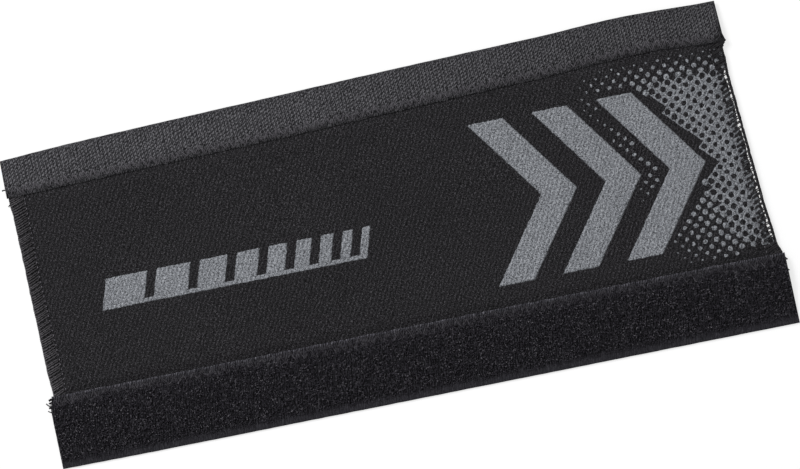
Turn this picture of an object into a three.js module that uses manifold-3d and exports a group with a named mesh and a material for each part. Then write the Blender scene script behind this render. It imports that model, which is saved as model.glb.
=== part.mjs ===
// A foam-rubber wrap for the rear tube of a bicycle frame, lying flat with its outer face up.
// X runs along the wrap, +Y points to the hook tape and +Z is up. Lengths are in millimetres.
// The origin is on the flat back of the panel, at the middle of the loop tape's length.
import * as THREE from "three";
import { mergeVertices } from "three/addons/utils/BufferGeometryUtils.js";
import Module from "manifold-3d";

const wasm = await Module();
wasm.setup();

// Outline of the whole wrap
const loopTapeLength = 264.5;
const hookTapeLength = 257.5;
const widthAtLeft = 110.7;
const widthAtRight = 116.9;
const hookEdgeBow = 1.3; // how far the free edge of the hook tape bows out between its ends
const originFromLoopEdge = 57;

// Foam panel
const panelThickness = 3;
const stitchedThickness = 1.5; // where thread presses the foam together
const rollWidth = 2.4; // from a stitched band up to the full thickness
const bandMargin = 0.4; // how far a stitched band reaches past its tape or its thread
const hookEndInset = 0.3; // from the end of the hook tape to the wrapped edge of the panel
const loopEndInset = 1.5; // the same at the loop tape

// Hook tape
const hookTapeWidthAtLeft = 13.6;
const hookTapeWidthAtRight = 14.8;
const hookTapeThickness = 0.8;
const hookLap = 5; // how far the tape covers the panel
const hookHeight = 1.3;
const hookRows = 4;
const hookPitch = 6.4;
const hookRowThickness = 0.7;
const hookRise = 0.35; // where a hook reaches its full height, as a share of the pitch
const hookTip = 0.25; // width of a hook's tip, as a share of the pitch
const hookWeb = 0.1; // height of the web between the hooks of a row
const hookSelvedge = 1.2; // plain strip along the free edge

// Loop tape
const loopTapeWidth = 25;
const loopTapeThickness = 0.9;
const loopLap = 6;
const pileHeight = 1.3;
const pileUnevenness = 0.55;
const tuftPitch = 3.8;
const tuftRows = 7;
const loopSelvedge = 2.2; // plain strip along the free edge
const pileEndGap = 0.3; // from the pile to the cut ends of the tape
const pileSlope = 0.4; // width of the slope at the sides of the pile

// Threads
const overlockThread = 0.6;
const overlockReach = 4.6; // from the edge of the panel to the needle line
const overlockPitch = 1.8;
const overlockSlant = 1.2; // how much further along its inner end lies
const threadClearance = 0.15;
const seamThread = 0.45;
const seamThreadHeight = 0.3;
const seamWidth = 3.4; // of the zigzag, from point to point
const seamPitch = 3.5;
const seamMargin = 0.7; // from the edge of the tape to the first points

// Print
const printThickness = 0.15;
const barsStart = 24; // from the left edge of the panel
const barsAboveLoopTape = 27;
const barsUnderline = 1.6;
const barsHeight = 11;
const barsCount = 9;
const firstBarWidth = 15;
const barTaper = 0.82; // each bar's width as a share of the one before
const barGap = 3.2;
const printSlant = 0.3; // sideways lean for each millimetre of height
const chevronCount = 3;
const chevronHeight = 58;
const chevronStroke = 13;
const chevronDepth = 21;
const chevronPitch = 23;
const chevronTipInset = 17; // from the right edge of the panel to the last tip
const chevronsAboveLoopTape = 8;

// Colours and finishes
const foamBlack = { color: 0x232324, roughness: 0.92, metalness: 0 };
const tapeGrey = { color: 0x46464a, roughness: 0.8, metalness: 0 };
const pileBlack = { color: 0x1b1a1e, roughness: 0.95, metalness: 0 };
const threadBlack = { color: 0x1e1e21, roughness: 0.7, metalness: 0 };
const printGrey = { color: 0x80868d, roughness: 0.75, metalness: 0 };

const tapeLeft = -loopTapeLength / 2;
const loopTapeRight = loopTapeLength / 2;
const hookTapeRight = tapeLeft + hookTapeLength;
const loopFreeY = -originFromLoopEdge;
const loopSeamY = loopFreeY + loopTapeWidth;
const relief = (panelThickness - stitchedThickness) / 2;
const bandTop = panelThickness - relief;
const hookTapeTop = bandTop + hookTapeThickness;
const loopTapeTop = bandTop + loopTapeThickness;
const wrapStandoff = overlockThread + threadClearance; // from the foam to its thread's outside

const mix = THREE.MathUtils.lerp;

// Share of the hook tape's length that lies left of x.
function hookShare(x) {
  return (x - tapeLeft) / hookTapeLength;
}

// The edge of the hook tape that lies on the panel: a straight line.
function hookSeamY(x) {
  const left = widthAtLeft - hookTapeWidthAtLeft;
  const right = widthAtRight - hookTapeWidthAtRight;
  return mix(left, right, hookShare(x)) - originFromLoopEdge;
}

// The free edge of the hook tape: a straight line with a flat bow.
function hookFreeY(x) {
  const fromMiddle = 2 * hookShare(x) - 1;
  const bow = hookEdgeBow * (1 - fromMiddle ** 4);
  return mix(widthAtLeft, widthAtRight, hookShare(x)) + bow - originFromLoopEdge;
}

// The wrapped left and right edges of the panel, with their thread outside.
function leftWrapX(y) {
  const climb = (y - loopSeamY) / (hookSeamY(tapeLeft) - loopSeamY);
  return tapeLeft + mix(loopEndInset, hookEndInset, climb);
}

function rightWrapX(y) {
  const climb = (y - loopSeamY) / (hookSeamY(hookTapeRight) - loopSeamY);
  return mix(loopTapeRight - loopEndInset, hookTapeRight - hookEndInset, climb);
}

// A closed block whose grid of points is put in place by a rule of its column, row and layer.
function gridBlock(columns, rows, layers, place) {
  const block = new THREE.BoxGeometry(1, 1, 1, columns, rows, layers);
  const points = block.attributes.position;
  for (let i = 0; i < points.count; i++) {
    const column = Math.round((points.getX(i) + 0.5) * columns);
    const row = Math.round((points.getY(i) + 0.5) * rows);
    const layer = Math.round((points.getZ(i) + 0.5) * layers);
    points.setXYZ(i, ...place(column, row, layer));
  }
  return block;
}

// A geometry with its shared points merged, as booleans need it.
function merged(geometry) {
  geometry.deleteAttribute("normal");
  geometry.deleteAttribute("uv");
  return mergeVertices(geometry);
}

function toSolid(geometry) {
  const closed = merged(geometry);
  return new wasm.Manifold(
    new wasm.Mesh({
      numProp: 3,
      vertProperties: closed.attributes.position.array,
      triVerts: new Uint32Array(closed.index.array),
    }),
  );
}

function toGeometry(solid) {
  const mesh = solid.getMesh();
  const geometry = new THREE.BufferGeometry();
  geometry.setAttribute("position", new THREE.BufferAttribute(mesh.vertProperties, 3));
  geometry.setIndex(new THREE.BufferAttribute(mesh.triVerts, 1));
  return geometry;
}

function joined(geometries) {
  const [first, ...others] = geometries.map(toSolid);
  return toGeometry(others.reduce((sum, other) => sum.add(other), first));
}

// The foam panel. Its columns step in from the wrapped edges and its rows from the taped ones.
// Where a column or row lies in a stitched band, both faces are pressed in by the relief.
function neoprenePanel() {
  const needleLine = overlockReach + bandMargin;
  const fromEdge = [0, needleLine, needleLine + rollWidth / 2, needleLine + rollWidth];
  const pressed = [1, 1, 0.5, 0];
  const bottomRows = [-loopLap, bandMargin, bandMargin + rollWidth / 2, bandMargin + rollWidth];
  const topRows = [hookLap, -bandMargin, -bandMargin - rollWidth / 2, -bandMargin - rollWidth];
  const steps = fromEdge.length;
  const last = 2 * steps - 1;
  const nearEdge = (index) => Math.min(index, last - index);

  return gridBlock(last, last, 1, (column, row, layer) => {
    const onLeft = column < steps;
    const inward = fromEdge[nearEdge(column)] + wrapStandoff;
    let x = onLeft ? tapeLeft : hookTapeRight;
    let y = loopSeamY;
    for (let pass = 0; pass < 4; pass++) {
      const near = nearEdge(row);
      y = row < steps ? loopSeamY + bottomRows[near] : hookSeamY(x) + topRows[near];
      x = onLeft ? leftWrapX(y) + inward : rightWrapX(y) - inward;
    }
    const press = relief * Math.max(pressed[nearEdge(column)], pressed[nearEdge(row)]);
    return [x, y, layer ? panelThickness - press : press];
  });
}

// Height of the hook tape's underside: level over the panel, then down to its hooks' length.
function hookUnderside(x, y) {
  const bend = hookSeamY(x) + hookLap + bandMargin;
  const down = Math.max(0, (y - bend) / (hookFreeY(x) - bend));
  return mix(bandTop, hookHeight, down);
}

function hookTapeBand() {
  const columns = 16;
  return gridBlock(columns, 2, 1, (column, row, layer) => {
    const x = mix(tapeLeft, hookTapeRight, column / columns);
    const seam = hookSeamY(x);
    const y = [seam, seam + hookLap + bandMargin, hookFreeY(x)][row];
    return [x, y, hookUnderside(x, y) + layer * hookTapeThickness];
  });
}

// One row of hooks: a strip of leaning teeth, bent to follow the tape and sunk a little into it.
function hookRow(index) {
  const rootDepth = hookTapeThickness / 2;
  const teeth = Math.floor((hookTapeLength - hookPitch) / hookPitch);
  const start = (hookTapeLength - teeth * hookPitch) / 2;
  const outline = new THREE.Shape();
  outline.moveTo(start, rootDepth);
  outline.lineTo(start, -hookWeb);
  for (let tooth = 0; tooth < teeth; tooth++) {
    const at = start + tooth * hookPitch;
    outline.lineTo(at + hookRise * hookPitch, -hookHeight);
    outline.lineTo(at + (hookRise + hookTip) * hookPitch, -hookHeight);
    outline.lineTo(at + hookPitch, -hookWeb);
  }
  outline.lineTo(start + teeth * hookPitch, rootDepth);
  const strip = new THREE.ExtrudeGeometry(outline, {
    depth: hookRowThickness,
    bevelEnabled: false,
  });
  const points = strip.attributes.position;
  for (let i = 0; i < points.count; i++) {
    const x = tapeLeft + points.getX(i);
    const first = hookSeamY(x) + hookLap + bandMargin + hookRowThickness;
    const last = hookFreeY(x) - hookSelvedge - hookRowThickness;
    const middle = mix(first, last, index / (hookRows - 1));
    const y = middle + hookRowThickness / 2 - points.getZ(i);
    const height = hookUnderside(x, middle) + points.getY(i);
    points.setXYZ(i, x, y, height);
  }
  return strip;
}

function hookTape() {
  const rows = Array.from({ length: hookRows }, (_, index) => hookRow(index));
  return joined([hookTapeBand(), ...rows]);
}

// Height of the loop tape's underside: level over the panel, then down to the floor.
function loopUnderside(y) {
  const bend = loopSeamY - loopLap - bandMargin;
  const down = Math.max(0, (bend - y) / (bend - loopFreeY));
  return mix(bandTop, 0, down);
}

function loopTapeBand() {
  const rows = [loopFreeY, loopSeamY - loopLap - bandMargin, loopSeamY];
  return gridBlock(1, 2, 1, (column, row, layer) => [
    mix(tapeLeft, loopTapeRight, column),
    rows[row],
    loopUnderside(rows[row]) + layer * loopTapeThickness,
  ]);
}

// How much of the pile's unevenness a tuft is lowered by: waves of unlike lengths, from 0 to 1.
function tuftDrop(column, row) {
  const ripple = Math.sin(1.7 * column * row);
  return 0.5 + 0.5 * Math.sin(2.4 * column + 3.7 * row + ripple);
}

// The pile: a mat with an uneven top, one point of the grid for each tuft.
function loopPile() {
  const first = loopFreeY + loopSelvedge;
  const last = loopSeamY - seamMargin - seamWidth - seamThread;
  const columns = Math.round((loopTapeLength - 2 * pileEndGap) / tuftPitch);
  const rows = tuftRows + 1;
  return gridBlock(columns, rows, 1, (column, row, layer) => {
    const slope = layer ? pileSlope : 0;
    const y = mix(first + slope, last - slope, row / rows);
    const x = mix(tapeLeft + pileEndGap, loopTapeRight - pileEndGap, column / columns);
    const sunk = loopUnderside(y) + loopTapeThickness / 2;
    const top = loopUnderside(y) + loopTapeThickness + pileHeight;
    const lowered = pileUnevenness * tuftDrop(column, row);
    return [x, y, layer ? top - lowered : sunk];
  });
}

function loopTape() {
  return joined([loopTapeBand(), loopPile()]);
}

// A line of straight stretches, one for each step along it.
class StitchLine extends THREE.Curve {
  constructor(points) {
    super();
    this.points = points;
  }

  getUtoTmapping(u) {
    return u;
  }

  getPoint(t, target = new THREE.Vector3()) {
    const place = t * (this.points.length - 1);
    const from = Math.min(Math.floor(place), this.points.length - 2);
    return target.lerpVectors(this.points[from], this.points[from + 1], place - from);
  }

  // At a corner the direction halves the turn, so a section keeps its width round it.
  getTangent(t, target = new THREE.Vector3()) {
    const at = Math.round(t * (this.points.length - 1));
    const here = this.points[at];
    const before = this.points[Math.max(at - 1, 0)];
    const after = this.points[Math.min(at + 1, this.points.length - 1)];
    const arriving = new THREE.Vector3().subVectors(here, before).normalize();
    const leaving = new THREE.Vector3().subVectors(after, here).normalize();
    return target.addVectors(arriving, leaving).normalize();
  }
}

// The thread round a short edge. It runs out over the face, round the edge, in along the back,
// on to the next stitch, and back the other way.
function overlockThreadLine(wrapX, side) {
  const radius = overlockThread / 2;
  const overFace = bandTop + threadClearance + radius;
  const underBack = relief - threadClearance - radius;
  const atEdge = radius;
  const besideEdge = radius + threadClearance;
  const atNeedle = wrapStandoff + overlockReach;
  const firstY = loopSeamY + bandMargin + overlockThread + Math.max(0, -side * overlockSlant);
  const endX = side > 0 ? tapeLeft : hookTapeRight;
  const lastY = hookSeamY(endX) - bandMargin - overlockThread - Math.max(0, side * overlockSlant);
  const stitches = Math.floor((lastY - firstY) / overlockPitch);
  const margin = (lastY - firstY - stitches * overlockPitch) / 2;
  const points = [];
  for (let stitch = 0; stitch <= stitches; stitch++) {
    const y = firstY + margin + stitch * overlockPitch;
    const slant = side * overlockSlant;
    const leg = [
      [atNeedle, y + slant, overFace],
      [besideEdge, y, overFace],
      [atEdge, y, panelThickness / 2],
      [besideEdge, y, underBack],
      [atNeedle, y + slant, underBack],
    ].map(([inward, along, height]) => {
      return new THREE.Vector3(wrapX(along) + side * inward, along, height);
    });
    points.push(...(stitch % 2 ? leg.reverse() : leg));
  }
  return new StitchLine(points);
}

function overlockThreadGeometry(wrapX, side) {
  const sides = 5;
  const corners = Array.from({ length: sides }, (_, corner) => {
    const turn = (2 * Math.PI * corner) / sides;
    return new THREE.Vector2(Math.cos(turn), Math.sin(turn)).multiplyScalar(overlockThread / 2);
  });
  const line = overlockThreadLine(wrapX, side);
  return new THREE.ExtrudeGeometry(new THREE.Shape(corners), {
    steps: line.points.length - 1,
    extrudePath: line,
  });
}

// A zigzag of thread lying on a tape. Its two long outlines are the same zigzag, moved apart.
function seamZigzag(length, seamY, inward, height) {
  const halfPitch = seamPitch / 2;
  const points = Math.floor((length - 2 * seamMargin) / halfPitch);
  const start = tapeLeft + (length - points * halfPitch) / 2;
  const apart = (seamThread / 2) * Math.hypot(1, seamWidth / halfPitch);
  const near = [];
  const far = [];
  for (let point = 0; point <= points; point++) {
    const x = start + point * halfPitch;
    const y = seamY(x) + inward * (seamMargin + (point % 2) * seamWidth);
    near.push(new THREE.Vector2(x, y - apart / 2));
    far.push(new THREE.Vector2(x, y + apart / 2));
  }
  const ribbon = new THREE.ExtrudeGeometry(new THREE.Shape([...near, ...far.reverse()]), {
    depth: seamThreadHeight,
    bevelEnabled: false,
  });
  return ribbon.translate(0, 0, height);
}

// A flat film of print with a given outline, lying on the panel.
function printFilm(corners) {
  const outline = new THREE.Shape(corners.map(([x, y]) => new THREE.Vector2(x, y)));
  const film = new THREE.ExtrudeGeometry(outline, {
    depth: printThickness,
    bevelEnabled: false,
  });
  return film.translate(0, 0, panelThickness);
}

// Leaning bars on one thin underline, each narrower than the one before.
function printedBars() {
  const baseY = loopSeamY + barsAboveLoopTape;
  const startX = leftWrapX(baseY) + barsStart;
  const lean = (x, y) => [startX + x + printSlant * y, baseY + y];
  const corners = [lean(0, 0)];
  const tops = [];
  let x = 0;
  for (let bar = 0; bar < barsCount; bar++) {
    const width = firstBarWidth * barTaper ** bar;
    tops.push(lean(x, barsUnderline), lean(x, barsHeight));
    tops.push(lean(x + width, barsHeight), lean(x + width, barsUnderline));
    x += width + barGap;
  }
  corners.push(lean(x - barGap, 0));
  return printFilm([...corners, ...tops.slice(1).reverse()]);
}

function printedChevron(index) {
  const baseY = loopSeamY + chevronsAboveLoopTape;
  const middleY = baseY + chevronHeight / 2;
  const tipX = rightWrapX(middleY) - chevronTipInset - (chevronCount - 1 - index) * chevronPitch;
  const backX = tipX - chevronDepth;
  return printFilm([
    [backX, baseY],
    [tipX, middleY],
    [backX, baseY + chevronHeight],
    [backX - chevronStroke, baseY + chevronHeight],
    [tipX - chevronStroke, middleY],
    [backX - chevronStroke, baseY],
  ]);
}

const wrap = new THREE.Group();

function addPiece(name, geometry, finish) {
  const piece = new THREE.Mesh(geometry, new THREE.MeshStandardMaterial(finish));
  piece.name = name;
  wrap.add(piece);
}

addPiece("neoprene_panel", neoprenePanel(), foamBlack);
addPiece("hook_tape", hookTape(), tapeGrey);
addPiece("loop_tape", loopTape(), pileBlack);
addPiece("overlock_thread_left", overlockThreadGeometry(leftWrapX, 1), threadBlack);
addPiece("overlock_thread_right", overlockThreadGeometry(rightWrapX, -1), threadBlack);
addPiece(
  "hook_seam_thread",
  seamZigzag(hookTapeLength, hookSeamY, 1, hookTapeTop),
  threadBlack,
);
addPiece(
  "loop_seam_thread",
  seamZigzag(loopTapeLength, () => loopSeamY, -1, loopTapeTop),
  threadBlack,
);
addPiece("printed_bars", printedBars(), printGrey);
for (let index = 0; index < chevronCount; index++) {
  addPiece(`printed_chevron_${index + 1}`, printedChevron(index), printGrey);
}

export default wrap;
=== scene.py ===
# A foam wrap for the rear tube of a bicycle frame, lying flat with its printed face up.
import math

import bpy
import numpy as np
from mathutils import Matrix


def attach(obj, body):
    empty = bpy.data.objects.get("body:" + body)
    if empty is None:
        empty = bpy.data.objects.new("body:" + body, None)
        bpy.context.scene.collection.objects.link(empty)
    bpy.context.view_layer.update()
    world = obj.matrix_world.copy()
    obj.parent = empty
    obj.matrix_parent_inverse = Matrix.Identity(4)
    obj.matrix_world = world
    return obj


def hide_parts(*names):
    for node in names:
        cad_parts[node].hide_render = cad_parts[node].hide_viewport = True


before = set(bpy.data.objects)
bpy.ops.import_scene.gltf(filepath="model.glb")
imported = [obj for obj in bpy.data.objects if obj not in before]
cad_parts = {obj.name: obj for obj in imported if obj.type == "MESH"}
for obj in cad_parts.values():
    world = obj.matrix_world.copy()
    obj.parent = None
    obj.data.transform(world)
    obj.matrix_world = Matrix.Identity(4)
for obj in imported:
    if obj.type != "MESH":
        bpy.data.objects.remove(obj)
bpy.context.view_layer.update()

# Layout of the wrap, in millimetres as in the part: X along the wrap, Y to the hook tape, Z up
MM = 0.001
TAPE_LEFT = -132.25
LOOP_TAPE_RIGHT = 132.25
HOOK_TAPE_LENGTH = 257.5
HOOK_TAPE_RIGHT = TAPE_LEFT + HOOK_TAPE_LENGTH
LOOP_FREE_Y = -57.0
LOOP_SEAM_Y = -32.0
HOOK_SEAM_AT_LEFT = 40.1
HOOK_SEAM_AT_RIGHT = 45.1
HOOK_FREE_AT_LEFT = 53.7
HOOK_FREE_AT_RIGHT = 59.9
HOOK_EDGE_BOW = 1.3
HOOK_END_INSET = 0.3
LOOP_END_INSET = 1.5
PANEL_THICKNESS = 3.0
RELIEF = 0.75
BAND_TOP = PANEL_THICKNESS - RELIEF
ROLL_WIDTH = 2.4
BAND_MARGIN = 0.4
TAPE_EDGE_MARGIN = 0.1
HOOK_LAP = 5.0
LOOP_LAP = 6.0
HOOK_TAPE_THICKNESS = 0.8
LOOP_TAPE_THICKNESS = 0.9
HOOK_LENGTH = 1.25
HOOK_SELVEDGE = 1.2
LOOP_SELVEDGE = 2.2
OVERLOCK_REACH = 4.6
SEAM_MARGIN = 0.7
SEAM_WIDTH = 3.4
SEAM_PITCH = 3.5
SEWN_THINNING = 0.42
SEWN_BAND = 4.0
SEWN_SLOPE = 3.4
PANEL_RIM_RADIUS = 0.6
TAPE_RIM_RADIUS = 0.35

# How the tapes' edges wander: heights, with the x between which each grows, or grows and goes
HOOK_SEAM_RISES = ((0.9, -50, 60), (0.95, 55, 90), (-1.85, 98, 125))
HOOK_FREE_DIP = (0.18, (-115, -80), (-40, 0))
HOOK_FREE_HUMP = (0.72, (58, 92), (92, 120))
LOOP_SEAM_INSET = 0.57
LOOP_SEAM_TILT = 0.0015
LOOP_SEAM_END_RISE = (0.13, -95, -115)

# Print on the face
BARS_START = 24.0
BARS_ABOVE_LOOP_TAPE = 27.0
BARS_UNDERLINE = 1.6
BARS_HEIGHT = 11.0
BARS_COUNT = 9
FIRST_BAR_WIDTH = 15.0
BAR_TAPER = 0.82
BAR_GAP = 3.2
PRINT_SLANT = 0.3
CHEVRON_COUNT = 3
CHEVRON_HEIGHT = 58.0
CHEVRON_STROKE = 13.0
CHEVRON_DEPTH = 21.0
CHEVRON_PITCH = 23.0
CHEVRON_TIP_INSET = 17.0
CHEVRONS_ABOVE_LOOP_TAPE = 8.0

# Camera: straight above, turned as the photograph is
PICTURE_TURN = math.radians(-11.3)
PICTURE_WIDTH = 281.1
PICTURE_CENTRE = (0.55, 0.92)
CAMERA_HEIGHT = 1600.0
SENSOR_WIDTH = 36.0

# Light and floor, in metres and watts
KEY_LAMP_PLACE = (-0.55, 0.75, 0.95)
KEY_LAMP_SIZE = 0.5
KEY_LAMP_WATTS = 12.2
WORLD_STRENGTH = 0.5
FLOOR_HALF_SIDE = 3.0
FLOOR_GREY = 0.8
FLOOR_GLOW = 1.25
FLOOR_GLOW_SHARE = 0.55


def blend(start, end, share):
    """The value at a share of the way from start to end."""
    return start + (end - start) * share


def eased(share):
    """A step from 0 to 1 with level ends: 3t² - 2t³ of the share kept between 0 and 1."""
    kept = np.clip(share, 0, 1)
    return kept * kept * (3 - 2 * kept)


def step(value, start, end):
    """An eased step that begins at the start and is done at the end."""
    return eased((value - start) / (end - start))


def hook_share(x):
    """How far along the hook tape an x lies, from 0 at its left end to 1 at its right end."""
    return (x - TAPE_LEFT) / HOOK_TAPE_LENGTH


def hook_seam_y(x):
    """The inner edge of the hook tape: a line that rises to the right, and that wanders up
    further before it comes back at the right end, as it was sewn by hand."""
    line = blend(HOOK_SEAM_AT_LEFT, HOOK_SEAM_AT_RIGHT, hook_share(x))
    for height, start, end in HOOK_SEAM_RISES:
        line = line + height * step(x, start, end)
    return line


def swelling(x, height, growth, decline):
    """A height that comes up over one stretch of x and goes back over another."""
    return height * (step(x, *growth) - step(x, *decline))


def hook_free_y(x):
    """The free edge of the hook tape: a rising line with a flat bow added, 1 less a fourth power,
    and a slight dip and hump of its own."""
    share = hook_share(x)
    bow = HOOK_EDGE_BOW * (1 - (2 * share - 1) ** 4)
    bowed = blend(HOOK_FREE_AT_LEFT, HOOK_FREE_AT_RIGHT, share) + bow
    return bowed - swelling(x, *HOOK_FREE_DIP) + swelling(x, *HOOK_FREE_HUMP)


def loop_seam_y(x):
    """The inner edge of the loop tape: sewn a little further in at the left than at the right."""
    height, start, end = LOOP_SEAM_END_RISE
    return LOOP_SEAM_Y + LOOP_SEAM_INSET - LOOP_SEAM_TILT * x + height * step(x, start, end)


def left_outline(y):
    """The outer line of the thread round the left edge, straight from tape to tape."""
    share = (y - LOOP_SEAM_Y) / (HOOK_SEAM_AT_LEFT - LOOP_SEAM_Y)
    return TAPE_LEFT + blend(LOOP_END_INSET, HOOK_END_INSET, share)


def right_outline(y):
    """The outer line of the thread round the right edge, straight from tape to tape."""
    share = (y - LOOP_SEAM_Y) / (HOOK_SEAM_AT_RIGHT - LOOP_SEAM_Y)
    return blend(LOOP_TAPE_RIGHT - LOOP_END_INSET, HOOK_TAPE_RIGHT - HOOK_END_INSET, share)


LATTICE = (113, 127)


def cloud(x, y, size, seed):
    """Smooth random heights from -1 to 1: chance values on a square lattice, size apart, each
    point taking the eased mean of the four round it."""
    columns, rows = LATTICE
    table = np.random.default_rng(seed).uniform(-1, 1, LATTICE)
    column = np.floor(x / size).astype(int)
    row = np.floor(y / size).astype(int)
    across = eased(x / size - column)

    def level(up):
        """The value on one line of the lattice, between its two nearest points."""
        left = table[column % columns, (row + up) % rows]
        return blend(left, table[(column + 1) % columns, (row + up) % rows], across)

    return blend(level(0), level(1), eased(y / size - row))


# Making meshes
def make_piece(name, points, quads, triangles, finish, slot, marks=None):
    """A mesh from points in millimetres and its faces, riding on the wrap's one body."""
    mesh = bpy.data.meshes.new(name)
    mesh.vertices.add(len(points))
    mesh.vertices.foreach_set("co", (points * MM).ravel())
    corners = np.concatenate([quads.ravel(), triangles.ravel()])
    starts = np.concatenate([np.arange(len(quads)) * 4, len(quads) * 4 + np.arange(len(triangles)) * 3])
    mesh.loops.add(len(corners))
    mesh.loops.foreach_set("vertex_index", corners)
    mesh.polygons.add(len(starts))
    mesh.polygons.foreach_set("loop_start", starts)
    mesh.polygons.foreach_set("use_smooth", np.ones(len(starts), bool))
    mesh.update(calc_edges=True)
    for mark, values in (marks or {}).items():
        mesh.attributes.new(mark, "FLOAT", "POINT").data.foreach_set("value", values.ravel())
    mesh.materials.append(finish)
    piece = bpy.data.objects.new(name, mesh)
    bpy.context.scene.collection.objects.link(piece)
    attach(piece, "root")
    return piece


def no_faces(corners):
    """An empty list of faces with that many corners each."""
    return np.zeros((0, corners), int)


def shell_grid(columns, rows):
    """Point numbers and quads of a closed sheet: an upper and a lower grid that share their rim."""
    upper = np.arange(columns * rows).reshape(columns, rows)
    lower = upper.copy()
    inner = (columns - 2) * (rows - 2)
    lower[1:-1, 1:-1] = columns * rows + np.arange(inner).reshape(columns - 2, rows - 2)
    over = np.stack([upper[:-1, :-1], upper[1:, :-1], upper[1:, 1:], upper[:-1, 1:]], axis=-1)
    under = np.stack([lower[:-1, :-1], lower[:-1, 1:], lower[1:, 1:], lower[1:, :-1]], axis=-1)
    return np.concatenate([over.reshape(-1, 4), under.reshape(-1, 4)])


def shell_values(upper, lower):
    """Values for the points of a closed sheet: the whole upper grid, then the inside of the lower."""
    return np.concatenate([upper.ravel(), lower[1:-1, 1:-1].ravel()])


def shell_points(x, y, top, bottom):
    """Points of a closed sheet between two heights over one grid; the rim lies midway."""
    middle = (top + bottom) / 2
    rimmed = top.copy()
    rimmed[[0, -1], :] = middle[[0, -1], :]
    rimmed[:, [0, -1]] = middle[:, [0, -1]]
    return np.stack([shell_values(x, x), shell_values(y, y), shell_values(rimmed, bottom)], axis=1)


def rim_steps(length, spacing, radius):
    """Places from 0 to 1 along a length: close together within radius of both ends, then even."""
    turn = radius * (1 - np.cos(np.linspace(0, math.pi / 2, 5)))
    count = max(2, int((length - 2 * radius) / spacing))
    inside = np.linspace(radius, length - radius, count + 1)
    return np.concatenate([turn[:-1], inside, (length - turn[:-1])[::-1]]) / length


def rounded_rim(left, right, low, high, radius):
    """Share of the full thickness near a rim: a quarter circle of that radius, 1 further in."""
    nearest = np.minimum(np.minimum(left, right), np.minimum(low, high))
    inside = np.clip(nearest / radius, 0, 1)
    return np.sqrt(1 - (1 - inside) ** 2)


def unit(vectors):
    """The vectors at length 1."""
    return vectors / np.maximum(np.linalg.norm(vectors, axis=-1, keepdims=True), 1e-9)


def turns(count):
    """That many angles, evenly round a circle."""
    return np.arange(count) * 2 * math.pi / count


def directions(paths, leaning):
    """Sideways and up at each point: sideways is square to the path and to the leaning, and up
    is square to the path and to sideways."""
    ahead = unit(np.gradient(paths, axis=-2))
    sideways = unit(np.cross(ahead, leaning))
    return sideways, np.cross(sideways, ahead)


def tubes(paths, radii, sides, leaning):
    """Round tubes along many paths of equal count: at each path point a ring of that many sides
    in the plane square to the path, with flat ends. Gives points, quads and triangles."""
    runs, steps = paths.shape[:2]
    sideways, up = directions(paths, leaning)
    turn = turns(sides)
    ring = np.cos(turn)[:, None] * sideways[:, :, None] + np.sin(turn)[:, None] * up[:, :, None]
    wide = np.broadcast_to(radii, (runs, steps))[:, :, None, None]
    points = (paths[:, :, None] + wide * ring).reshape(-1, 3)
    number = np.arange(runs * steps * sides).reshape(runs, steps, sides)
    onward = np.roll(number, -1, axis=2)
    quads = np.stack([number[:, :-1], number[:, 1:], onward[:, 1:], onward[:, :-1]], axis=-1)
    fan = np.arange(1, sides - 1)
    first = number[:, 0]
    last = number[:, -1]
    hub = np.zeros(sides - 2, int)
    start = np.stack([first[:, hub], first[:, fan], first[:, fan + 1]], axis=-1)
    end = np.stack([last[:, hub], last[:, fan + 1], last[:, fan]], axis=-1)
    return points, quads.reshape(-1, 4), np.concatenate([start.reshape(-1, 3), end.reshape(-1, 3)])


def joined(parts):
    """Several sets of points, quads and triangles as one set."""
    counts = np.cumsum([0] + [len(part[0]) for part in parts[:-1]])
    points = np.concatenate([part[0] for part in parts])
    quads = np.concatenate([part[1] + count for part, count in zip(parts, counts)])
    triangles = np.concatenate([part[2] + count for part, count in zip(parts, counts)])
    return points, quads, triangles


def even_path(corners, spacing, rounding):
    """A line through the corners in even steps, its bends rounded: each point becomes the
    weighted mean of the points within the rounding on both sides."""
    gaps = np.linalg.norm(np.diff(corners, axis=0), axis=1)
    reached = np.concatenate([[0], np.cumsum(gaps)])
    at = np.linspace(0, reached[-1], int(reached[-1] / spacing) + 2)
    line = np.stack([np.interp(at, reached, corners[:, axis]) for axis in range(3)], axis=1)
    reach = max(1, int(round(rounding / spacing)))
    weights = np.hanning(2 * reach + 3)[1:-1]
    weights = weights / weights.sum()
    longer = np.pad(line, ((reach, reach), (0, 0)), mode="edge")
    return np.stack([np.convolve(longer[:, axis], weights, "valid") for axis in range(3)], axis=1)


PLY_SWELL = 1.12


def plied(line, radius, plies, lay, sides, leaning):
    """A twisted thread along a line: each ply winds round it once in every lay. The plies touch
    each other, and each is a little swollen, so that they press together."""
    sideways, up = directions(line, leaning)
    run = np.concatenate([[0], np.cumsum(np.linalg.norm(np.diff(line, axis=0), axis=1))])
    share = 1 / (1 + 1 / math.sin(math.pi / plies))
    turn = 2 * math.pi * (run / lay + np.arange(plies)[:, None] / plies)[..., None]
    paths = line + radius * (1 - share) * (np.cos(turn) * sideways + np.sin(turn) * up)
    return tubes(paths, radius * share * PLY_SWELL, sides, leaning)


# Finishes
def maths(operation, swapped=False):
    """A method that makes one Math node of a value and another, or of the two swapped."""
    def method(self, other=0.0):
        first, second = (other, self) if swapped else (self, other)
        return self.finish.node("ShaderNodeMath", {"operation": operation}, {0: first, 1: second})
    return method


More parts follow.
